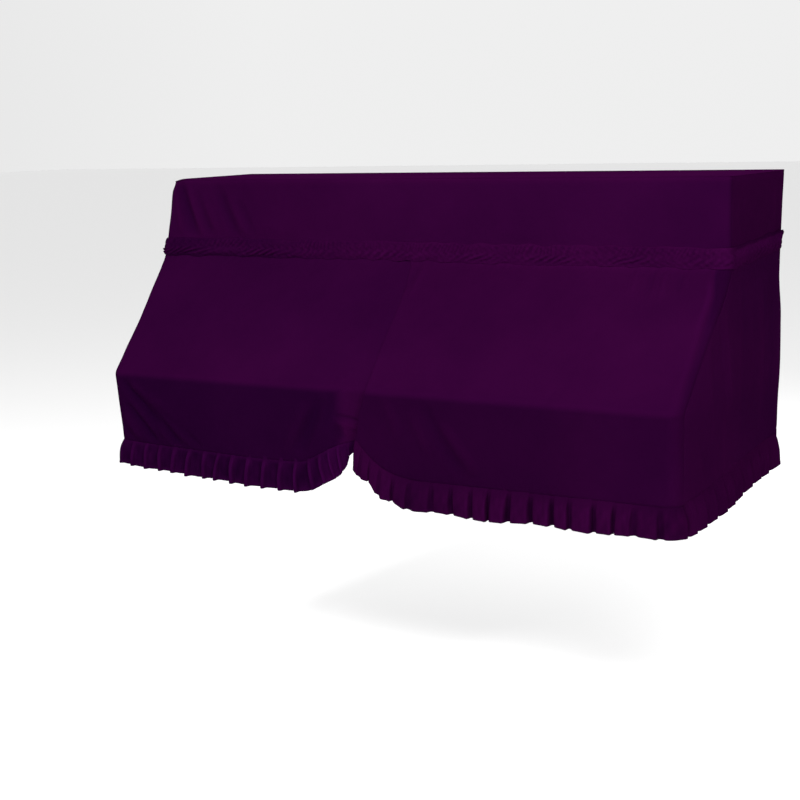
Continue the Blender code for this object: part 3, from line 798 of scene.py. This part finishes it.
def make_lid_panel():
    """The flat top, drawn a little down between its edges, out to the bands' outer faces."""
    reach_x, reach_y = HALF_WIDTH + CLOTH / 2 - SEAM, LID_DEPTH / 2 + CLOTH - SEAM
    near_edge = np.array([0, 0.0006, 0.0018, 0.004, 0.0075, 0.012])
    middle = spaced(-reach_y + near_edge[-1], reach_y - near_edge[-1], 0.008)[1:-1]
    y = np.concatenate((-reach_y + near_edge, middle, reach_y - near_edge[::-1]))
    middle = spaced(-1 + 0.016, 1 - 0.016, 0.010)[1:-1]
    u = np.concatenate((-1 + near_edge / reach_x, middle, 1 - near_edge[::-1] / reach_x))
    inset = np.clip(LID_CORNER - (reach_y - np.abs(y)), 0, LID_CORNER)
    width = reach_x - LID_CORNER + np.sqrt(LID_CORNER**2 - inset**2)
    y, u = np.meshgrid(y[::-1], u, indexing="ij")
    x = u * width[::-1, None]
    from_edge = np.minimum(reach_x - np.abs(x), reach_y - np.abs(y))
    uneven = 0.0004 * waves(x, y, 0.21, 5) + 0.00035 * waves(x, y, 0.08, 6)
    z = np.maximum(0.0010 + ease(from_edge, 0.0, 0.03) * uneven, 0.0009)
    z = z - 0.0007 * (1 - ease(from_edge, 0.0, 0.0045)) - corner_sag(x, y)
    half = HALF * thinned(from_edge, 0.004)
    piece = sheet_mesh("lid_cloth", np.stack((x, y, z - (HALF - half)), -1), 0.0, half)
    dress(piece, "lid_panel", LID_LIT_VELVET)


def band_relief(points, c, low):
    """The relief of a band's cloth, and its painted shade and highlight."""
    x, z = points[..., 0], points[..., 2]
    inner = np.minimum(share(-z, 0.0, 0.030), share(z, low + UNDER_TRIM, low + 0.050))
    relief = panel_relief(points, 11) * inner
    pulled = puckers(x - points[..., 1], z - low - 0.036, 17, 0.026, 0.0007, 0.016)
    folds = sum(panel_creases(points, c)) * share(z, low + 0.023, low + 0.042)
    # painted highlight along the top edge, painted shade on the front's right, end bands painted
    # lighter
    painted_tone = 0.9 * share(-z, 0.014, 0.002) + np.where(np.abs(c) < 2, -0.25 * share(x, -0.3, 0), 0.4)
    return relief + folds + pulled, folds / CREASE_FULL + painted_tone


def make_band(side, low_c, high_c):
    """A band from the lid's edge down to the seam under the trim."""
    places = corner_places(low_c, high_c, -0.1)
    low = side_seam(places)
    z = TOP_EDGE + (low - TOP_EDGE) * spaced(0, 1, STEP / -BAND_SEAM)[:, None]
    points = skin(places, z)
    relief, fold = band_relief(points, places, low)
    points = relieved(points, relief)
    points[..., 2] -= corner_sag(points[..., 0], points[..., 1]) * share(z, -0.050, 0.0)
    half = HALF * thinned(-z, 0.004)
    piece = sewn(f"{side}_band_cloth", points, fold, half, SIDE_EDGES)
    dress(piece, f"{side}_band", VELVET)


def hem_seam(hand, c):
    """The height of the hem seam at places round the cover."""
    front, corner, side = lengths_around(HEM_LEVEL)[:3]
    s = np.interp(np.abs(c), [0, 1, 2, 3], [0, front, front + corner, front + corner + side])
    return smooth(HEM_RIGHT if hand > 0 else HEM_LEFT, np.where(c < 0, -s, s))


def lower_grid(places, hand):
    """Heights for a lower panel: rows from the seam under the trim to the hem seam."""
    top, hem = side_seam(places), hem_seam(hand, places)
    upper = np.linspace(0, 1, int((BAND_SEAM - FOLD) / STEP) + 1)[:, None]
    lower = np.linspace(0, 1, int(LOWER_DROP / STEP) + 1)[1:, None]
    return np.concatenate((top + (FOLD - top) * upper, FOLD + (hem - FOLD) * lower))


def corner_fold(points, c):
    """The fold along the right end's front corner: its relief, and its painted shade and highlight.
    """
    x, z = points[..., 0], points[..., 2]
    within = HALF_WIDTH - x
    turn_at, turn_half, lean = [smooth(CORNER_FOLDS, z, column) for column in (1, 2, 3)]
    ridge = CORNER_RIDGE * mound(within - turn_at - 0.012, 0.008)
    trough = CORNER_TROUGH * mound(within - turn_at + 0.004, 0.009)
    run = share(z, -0.205, -0.240) * share(z, -0.470, -0.400) * share(within, 0.0, 0.012)
    # painted shade on the turn to the side, a painted highlight before it, painted light by the
    # fold
    turn_shade = ease(within, turn_at + turn_half, turn_at - turn_half) * share(z, -0.475, -0.455)
    highlight = mound(within - turn_at - turn_half - 0.006, 0.005)
    highlight *= share(z, -0.215, -0.235) * share(z, -0.33, -0.27)
    below = 0.9 * share(x, 0.45, 0.65) + 0.3 * ease(c, 1.2, 2)
    painted_tone = 0.8 * highlight - turn_shade * lean * (1 - 0.75 * ease(c, 1.3, 2.0))
    painted_tone += below * share(z, FOLD + 0.01, FOLD - 0.02)
    painted_tone += 0.25 * share(z, FOLD, FOLD + 0.02) * (c < 1.5)
    return run * (ridge - trough), painted_tone


def lower_relief(points, c, places, hand, seed):
    """The relief of a lower panel's cloth, and its painted shade and highlight."""
    y, z = points[..., 1], points[..., 2]
    under_trim = side_seam(places) - z - UNDER_TRIM
    over_hem = z - hem_seam(hand, places)
    along = points[..., 0] - y
    inner = share(under_trim, 0, 0.033) * (0.35 + 0.65 * share(over_hem, 0.0, 0.03))
    relief = panel_relief(points, seed) * inner
    front, side = panel_creases(points, c)
    side *= share(y - front_y(z) - corner_radius(z), 0.0, 0.03)
    # painted shade on the left front's top; on the right end painted light at the front, shade
    # further back
    if hand < 0:
        painted_tone = -0.28 * share(z, -0.42, -0.34) * (c > -1.5)
    elif places[0] < 1:
        corner, painted_tone = corner_fold(points, c)
        side += corner
    else:
        painted_light = ease(y, -0.235, -0.285) * share(z, -0.500, -0.470)
        painted_tone = 1.1 * painted_light + (1 - painted_light) * (1.0 - 1.4 * share(y, -0.24, 0.08))
        painted_tone -= 0.7 * share(z, -0.40, -0.30) + 0.5 * share(z, -0.46, -0.52)
    gathers = puckers(along, under_trim, seed + 20, 0.023, 0.0011, 0.022)
    pulled = puckers(along, over_hem, seed + 30, 0.023, 0.0009, 0.014)
    folds = (front + side) * share(over_hem, 0.001, 0.018)
    # painted shade in creases and gathers, and painted light over the shadow under the trim on the
    # right
    fold = np.clip((folds + 2.5 * gathers + 2.0 * pulled) / CREASE_FULL, -1, 1) + painted_tone
    fold += 1.3 * share(along, 0.15, 0.50) * np.exp(-np.maximum(under_trim, 0) / 0.004)
    return relief + folds + gathers + pulled, fold


def lower_cloth(z, c, places, hand, seed):
    """A lower panel's points, painted shade and half thickness: places is where its hem is sewn."""
    points = skin(c, z)
    relief, fold = lower_relief(points, c, places, hand, seed)
    half = HALF * thinned(z - hem_seam(hand, places), 0.010, 0.40)
    return relieved(points, relief), fold, half


def make_left_front():
    """The left half, which runs on a little under the right one."""
    places = corner_places(-2.0, OVERLAP / lengths_around(FOLD)[0], FOLD)
    z = lower_grid(places, -1)
    points, fold, half = lower_cloth(z, places, places, -1, 41)
    points[..., 1] += left_tuck(points[..., 0], z)
    piece = sewn("left_front_cloth", points, fold, half, ["left"])
    dress(piece, "left_front", LEFT_VELVET)


def make_right_front():
    """The right half, over the left one: its inner edge leans left above and below the fold."""
    straight = lengths_around(FOLD)[0]
    nominal = read(INNER_EDGE, FOLD)
    columns = corner_places(nominal / straight, 2.0, FOLD)
    leans = share(columns * straight, EDGE_REACH, nominal) / straight
    places = columns + (INNER_EDGE[0][1] - nominal) * leans
    z = lower_grid(places, 1)
    c = columns + (smooth(INNER_EDGE, z) - nominal) * leans
    points, fold, half = lower_cloth(z, c, places, 1, 61)
    x = points[..., 0]
    points[..., 1] -= SLIT_PART * near_slit(x)
    points[..., 1] -= EDGE_LIFT * mound(x - x[:, :1], 0.010) * share(z, -0.620, -0.500)
    piece = sewn("right_front_cloth", points, fold, half, ["right"])
    dress(piece, "right_front", VELVET)


def make_side(hand):
    """An end panel below the trim."""
    places = corner_places(2.0, 3.0, -0.4)
    places = places if hand > 0 else -places[::-1]
    z = lower_grid(places, hand)
    points, fold, half = lower_cloth(z, places, places, hand, 83 + hand)
    name = "right" if hand > 0 else "left"
    piece = sewn(f"{name}_side_cloth", points, fold, half, SIDE_EDGES)
    dress(piece, f"{name}_side", SIDE_LIT_VELVET)


def make_back():
    """The plain back, with a stitched hem."""
    half = corner_places(3.0, 5.0, -0.3, BACK_STEP)
    places = np.concatenate((half, -half[-2::-1]))
    z = spaced(TOP_EDGE, BACK_HEM, BACK_STEP)[:, None]
    points = skin(places, z)
    loose = share(-z, 0.0, 0.04) * share(np.abs(places), 3.0, 4.0)
    folds = creases(BACK_CREASES, points[..., 0], z) * loose
    stitched = 0.0007 * mound(z - BACK_HEM - HEM_ALLOWANCE, 0.004)
    points = relieved(points, panel_relief(points, 101) * loose + folds - stitched)
    # painted shade in the creases' troughs, painted highlight on their ridges
    fold = padded(folds / CREASE_FULL, SIDE_EDGES)
    piece = sheet_mesh("back_cloth", turned(points, SIDE_EDGES, HALF), fold, HALF)
    dress(piece, "back_panel", SIDE_LIT_VELVET)


def make_trim():
    """A ruched strip over the seam: gathers along its top and a slanting twist along its foot."""
    # where it lies on the skin: s along it, v down it
    reach = to_back_corner(BAND_SEAM) - TRIM_END
    v = np.concatenate(([0.0, 0.03], spaced(0.07, 0.93, 0.0019 / TRIM_WIDTH), [0.97, 1.0]))
    s, v = np.meshgrid(spaced(-reach, reach, 0.0024), v)
    ends = np.minimum(share(s, -reach, -reach + 0.02), share(s, reach, reach - 0.02))
    scallops = np.abs(np.sin(s / 0.0165 + waves(s, 0, 0.2, 15))) * v**3
    edges = waves(s, v * 0.1, 0.045, 13) * 0.0016 * (2 * v - 1) - 0.0010 * scallops
    middle = side_seam(around(s, BAND_SEAM)) + waves(s, 0, 0.30, 7) * 0.0013
    z = middle + edges * ends + (TRIM_WIDTH - 0.0015) * (0.5 - v)
    c = around(s, z)
    points = skin(c, z)
    out = facing(points)

    # its twisted strands, fine gathers and line of stitches
    crest, twist, gather = [smooth(TRIM_SECTION, v, column) for column in (1, 2, 3)]
    slant = TWIST_SLANT * (v - 0.5) * ends * (0.8 + 0.3 * waves(s, 0, 0.33, 19))
    phase = (s + slant) / TWIST_PITCH + 0.5 * waves(s, v * 0.02, 0.14, 23)
    strength = np.clip(0.75 + 0.65 * waves(s, 0, 0.17, 29), 0.12, 1.4) * smooth(TRIM_TWIST, s)
    strands = np.cos(phase * 2 * math.pi) * TWIST_DEPTH * twist * strength
    phase = (s + 0.25 * slant) / GATHER_PITCH + 0.5 * waves(s, v * 0.03, 0.07, 31)
    strength = np.clip(0.7 + 0.5 * waves(s, 0, 0.17, 37), 0.15, 1.3)
    fine = np.sin(phase * 2 * math.pi) * GATHER_DEPTH * gather * strength
    fine += waves(s, v * TRIM_WIDTH, 0.015, 43) * 0.0006 * share(v, 0, 0.1)
    stitched = 0.0009 * mound((v - 0.13) * TRIM_WIDTH, 0.0018)
    stitched *= 0.6 + 0.4 * np.sin(s / 0.019 * 2 * math.pi)
    raised = strands + fine - stitched

    # how far it stands out: more at the slit, the corners and its loose right end
    flatter = 1 - 0.45 * ease(s, -0.45, -0.25)
    height = TRIM_BASE + np.maximum(TRIM_CREST * crest * flatter + raised, 0)
    height += SLIT_PART * near_slit(points[..., 0]) * (np.abs(c) < 1)
    height += 0.0012 * np.minimum(share(np.abs(c), 0.96, 1.0), share(np.abs(c), 2.1, 2.0))
    height += 0.0008 * np.minimum(share(v, 0.0, 0.10), share(v, 1.0, 0.86))
    height += END_LOOSE * ease(s, reach - 0.040, reach) * share(v, 0.75, 0.10)
    half = HALF * (0.40 + 0.60 * np.minimum(share(v, 0.0, 0.10), share(v, 1.0, 0.93)))

    # its painted shade and highlight: darkest under the twist
    foot = share(v, 0.86, 0.98) * 0.85 * smooth(TRIM_TWIST, s) ** 2
    foot -= 0.9 * share(v, 0.88, 1.0) * ease(s, -0.1, 0.3)
    fold = np.clip(raised / TWIST_DEPTH, -1, 1) - foot
    fold += read(TRIM_SHADE, v) * ease(s, 0.76, 0.81) + smooth(TRIM_TWIST, s, 2)
    piece = sheet_mesh("trim_cloth", points + out * height[..., None], fold, half)
    dress(piece, "trim", TRIM_VELVET)


def pleat_curve(table):
    """A pleat's outline in even steps along it: the place in the pleat, and how far out."""
    place, out = np.array(table).T
    size = np.hypot(np.diff(place), np.diff(out) * PLEAT_RISE)
    run = np.concatenate(([0.0], np.cumsum(size))) / size.sum()
    rows = np.stack((run, place, out), 1)
    steps = np.arange(POINTS_PER_PLEAT) / POINTS_PER_PLEAT
    return smooth(rows, steps), smooth(rows, steps, 2)


def pleat_starts(hand, length, chance):
    """Where the pleats start along the ruffle: those that are placed, then others by chance."""
    starts = [row[0] for row in PLEATS_RIGHT] if hand > 0 else [0.0]
    placed = starts[-1]
    pitch = PITCH_RIGHT if hand > 0 else PITCH_LEFT
    while starts[-1] < length:
        width = pitch * float(read(PLEAT_SIZE, starts[-1])) * chance.uniform(0.84, 1.16)
        starts.append(starts[-1] + width)
    starts = np.array(starts)
    beyond = placed + (starts - placed) * (length - placed) / (starts[-1] - placed)
    return np.where(starts > placed, beyond, starts)


def pleats(hand, length):
    """Distances along the ruffle, how far out the cloth is there and how far the pleat leans."""
    chance = np.random.default_rng(207 + hand)
    starts = pleat_starts(hand, length, chance)
    deep = read(PLEATS_RIGHT, starts) if hand > 0 else np.ones(len(starts))
    place, rise = pleat_curve(BROAD_PLEAT if hand > 0 else NARROW_PLEAT)
    distance, out, lean = [], [], []
    for pleat in range(len(starts) - 1):
        distance.append(starts[pleat] + place * (starts[pleat + 1] - starts[pleat]))
        groove = np.where(place < 0.5, deep[pleat], deep[pleat + 1])
        out.append(rise * chance.uniform(0.72, 1.15) * np.where(rise < 0, groove, 1.0))
        lean.append(np.full(len(rise), chance.uniform(-0.0045, 0.0045)))
    lean = np.pad(np.concatenate(lean + [[0.0]]), POINTS_PER_PLEAT, mode="edge")
    kernel = np.hanning(POINTS_PER_PLEAT + 2)[1:-1]
    lean = np.convolve(lean, kernel / kernel.sum(), "same")[POINTS_PER_PLEAT:-POINTS_PER_PLEAT]
    return np.concatenate(distance + [[length]]), np.concatenate(out + [[-0.5]]), lean


def ruffle_path(hand):
    """The hem seam from the slit back: distance along it, place, height and fall direction."""
    table = HEM_RIGHT if hand > 0 else HEM_LEFT
    start = table[0][0] if hand > 0 else OVERLAP - 0.010
    places = np.linspace(start, hand * (to_back_corner(HEM_LEVEL) - RUFFLE_END), 1400)
    heights = smooth(table, places)
    run = np.concatenate(([0.0], np.cumsum(np.hypot(np.diff(places), np.diff(heights)))))
    across = hand * np.stack((np.gradient(heights, run), -np.gradient(places, run)))
    plumb = PLUMB_RIGHT if hand > 0 else PLUMB_LEFT
    fall = (1 - plumb) * across + plumb * np.array([[0.0], [-1.0]])
    return run, places, heights, fall / np.hypot(*fall)


def make_ruffle(hand):
    """A pleated strip gathered into the hem seam: each pleat has its own width, depth and lean."""
    run, places, heights, fall = ruffle_path(hand)
    length, limit = run[-1], abs(places[-1])
    depths = DEPTH_RIGHT if hand > 0 else DEPTH_LEFT
    d, out, lean = pleats(hand, length)
    under = -np.array([1.0, 0.6, 0.25]) * RUFFLE_UNDER / RUFFLE_DEPTH
    v = np.concatenate((under, [0.0, 0.02], spaced(0.05, 0.97, 0.0036 / RUFFLE_DEPTH), [1.0]))
    d, v = np.meshgrid(d, v)
    ends = np.minimum(share(d, 0, 0.03), share(d, length, length - 0.03))
    d = np.clip(d + lean * v * ends, 0, length)
    pleating = read(depths, d, 2)

    # where it hangs on the skin, below the seam
    hang = read(depths, d) * (1 + 0.035 * waves(d, 0, 0.19, 223 + hand))
    down = RUFFLE_DEPTH * np.where(v > 0, hang, 1.0) * v
    s = np.clip(np.interp(d, run, places) + np.interp(d, run, fall[0]) * down, -limit, limit)
    lift = SCALLOP * (1 - out) / 2 * share(v, 0, 1) ** 1.5
    z = np.interp(d, run, heights) + np.interp(d, run, fall[1]) * down + lift
    points = skin(around(s, z), z)

    # how far it stands out: pleats, small gathers and stitches
    level = hand * facing(points)
    level[..., 2] = 0
    level /= np.linalg.norm(level, axis=-1, keepdims=True)
    relief = PLEAT_AT_SEAM + (PLEAT_AT_HEM - PLEAT_AT_SEAM) * smooth(RUFFLE_FALL, v, 2)
    offset = smooth(RUFFLE_FALL, v) + out * relief * pleating
    gathers = waves(d, v * 0.01, 0.014, 229 + hand) * 0.0008 * share(v, 0.75, 0.05)
    softly = waves(d, v * 0.07, 0.05, 233 + hand) * 0.0010 * share(v, 0, 1)
    offset += (gathers + softly) * share(v, 0, 0.1)
    offset -= 0.0006 * mound((v - 0.86) * RUFFLE_DEPTH, 0.0022)
    offset -= RUFFLE_TUCK * share(v, 0.07, -0.03)

    # its painted shade and highlight, with random streaks, and what differs between the halves
    streaks = waves(d, v * 0.015, 0.011, 239 + hand) * 0.22
    if hand > 0:
        offset += 0.005 * ease(d, length - 0.10, length) * share(v, 0, 0.12)
        offset += SLIT_PART * near_slit(points[..., 0])
        fold = (0.85 * out - 0.15 + streaks) * ease(v, 0.02, 0.42) + smooth(RUFFLE_TONE_RIGHT, s)
    else:
        offset -= left_tuck(points[..., 0], z)
        shade_mix = ease(v, 0.0, 0.16) * (1 - 0.75 * ease(v, 0.76, 0.96))
        fold = (0.72 * out - 0.14 + streaks) * shade_mix + smooth(RUFFLE_TONE_LEFT, s)
    fold = np.clip(fold * np.where(v > 0, pleating, 1.0), -1, 1.4)
    half = RUFFLE_HALF * thinned(v, 0.12)
    points = points + level * offset[..., None]
    name = "right" if hand > 0 else "left"
    grids = [grid[:, ::hand] for grid in (points, fold, half)]
    piece = sheet_mesh(f"{name}_ruffle_cloth", *grids)
    cloth = SHADED_RUFFLE_VELVET if hand > 0 else LEFT_SHADED_RUFFLE_VELVET
    dress(piece, f"{name}_ruffle", cloth)


make_lid_panel()
make_band("front", -2.0, 2.0)
make_band("left", -3.0, -2.0)
make_band("right", 2.0, 3.0)
make_left_front()
make_right_front()
make_side(-1)
make_side(1)
make_back()
make_trim()
make_ruffle(-1)
make_ruffle(1)


# ---- stage ----

# The camera stands to the right of the cover, a little above its lid, and looks slightly down.
CAMERA_AT = (2.0785, -3.5655, 0.1425)
CAMERA_TURN = 33.49
CAMERA_DIP = 12.15
CAMERA_ROLL = 1.71
LENS = 74.05
SHIFT_X = 0.0340
SHIFT_Y = 0.0915
FLOOR_Z = -1.296
FLOOR_REACH = 40.0


def make_camera():
    data = bpy.data.cameras.new("camera")
    data.lens = LENS
    data.sensor_width = 36.0
    data.shift_x = SHIFT_X
    data.shift_y = SHIFT_Y
    camera = new_object("camera", data)
    camera.location = CAMERA_AT
    look = Matrix.Rotation(math.radians(CAMERA_TURN), 4, "Z")
    look = look @ Matrix.Rotation(math.radians(90 - CAMERA_DIP), 4, "X")
    look = look @ Matrix.Rotation(math.radians(-CAMERA_ROLL), 4, "Z")
    camera.rotation_euler = look.to_euler()
    bpy.context.scene.camera = camera


def make_floor():
    data = bpy.data.meshes.new("floor")
    corners = ((-1, -1), (1, -1), (1, 1), (-1, 1))
    corners = [(x * FLOOR_REACH, y * FLOOR_REACH, FLOOR_Z) for x, y in corners]
    data.from_pydata(corners, [], [(0, 1, 2, 3)])
    grey = {"Base Color": (0.78, 0.78, 0.78, 1.0), "Roughness": 0.9, "Specular IOR Level": 0.2}
    data.materials.append(new_material("floor", grey)[0])
    floor = new_object("floor", data)


def make_sky():
    """A bright room: lighter toward the back wall, and lightest at the ceiling."""
    world = bpy.data.worlds.new("studio")
    world.use_nodes = True
    sky = world.node_tree
    direction = node_of(sky, "TexCoord", {}).outputs["Generated"]
    toward = node_of(sky, "SeparateXYZ", {"Vector": direction})
    ends = {"From_Min": -0.4, "From_Max": 0.8, "To_Min": 0.30, "To_Max": 0.86}
    wall = ranged(sky, toward.outputs["Y"], **ends)
    ceiling = node_of(sky, "Math", {0: toward.outputs["Z"]}, operation="POWER")
    ceiling.inputs[1].default_value = 2.0
    strength = scaled_sum(sky, ceiling.outputs["Value"], 0.95, wall)
    background = sky.nodes["Background"]
    background.inputs["Color"].default_value = WHITE
    sky.links.new(strength, background.inputs["Strength"])
    bpy.context.scene.world = world


def soft_light(name, place, aim, size, power):
    data = bpy.data.lights.new(name, "AREA")
    data.shape = "DISK"
    data.size = size
    data.energy = power
    lamp = new_object(name, data)
    lamp.location = place
    lamp.rotation_euler = (Vector(aim) - Vector(place)).to_track_quat("-Z", "Y").to_euler()


make_camera()
make_floor()
make_sky()
soft_light("key", (-0.4, -3.4, 2.1), (0.1, -0.2, -0.25), 1.4, 262.0)
soft_light("fill", (2.1, -2.4, 0.9), (0.6, -0.1, -0.3), 1.4, 110.0)
soft_light("rear", (0.4, 2.8, 1.8), (0.0, 0.2, -0.2), 2.0, 60.0)
bpy.context.scene.view_settings.view_transform = "Standard"
